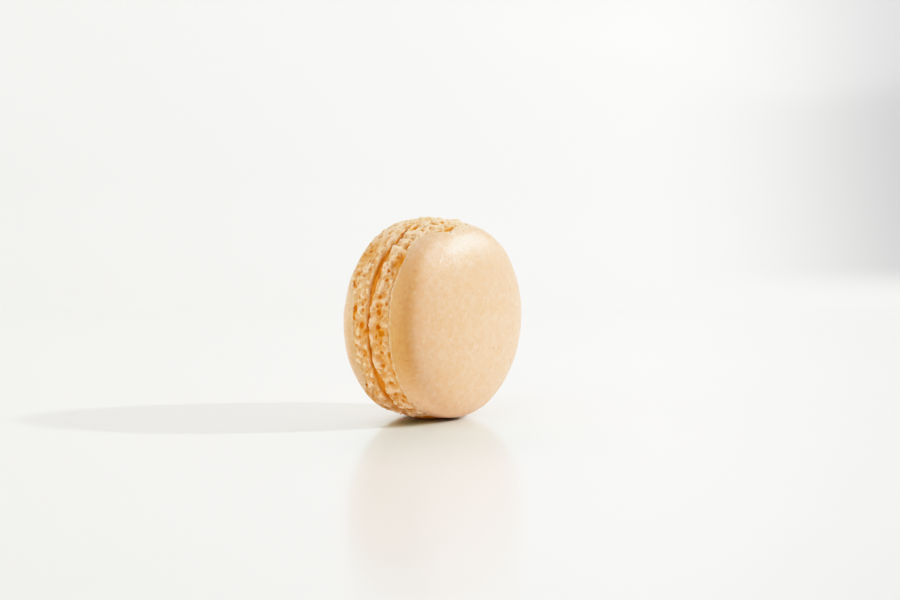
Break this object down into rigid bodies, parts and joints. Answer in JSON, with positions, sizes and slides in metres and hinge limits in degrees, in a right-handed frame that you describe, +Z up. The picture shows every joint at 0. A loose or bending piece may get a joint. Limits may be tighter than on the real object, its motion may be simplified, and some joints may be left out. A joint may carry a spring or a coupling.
{
  "type": "macaron",
  "caption": "Almond macaron standing on its edge: domed smooth shells with ruffled, pitted feet pressed round a thin layer of filling.",
  "frame": {"origin": "on the table under the middle of the cookie as it stands on its edge", "axes": "+Z up, Y along the cookie's axis, the fuller shell's dome towards -Y"},
  "size_m": [0.0472, 0.0276, 0.0464],
  "materials": {
    "almond_shell": "baked almond meringue, pale apricot, satin crust with fine mottling and a pale crumbly foot",
    "filling": "soft apricot-orange filling, slightly moist"
  },
  "bodies": {
    "root": {"front_shell": "almond_shell", "filling": "filling", "back_shell": "almond_shell"}
  },
  "joints": []
}
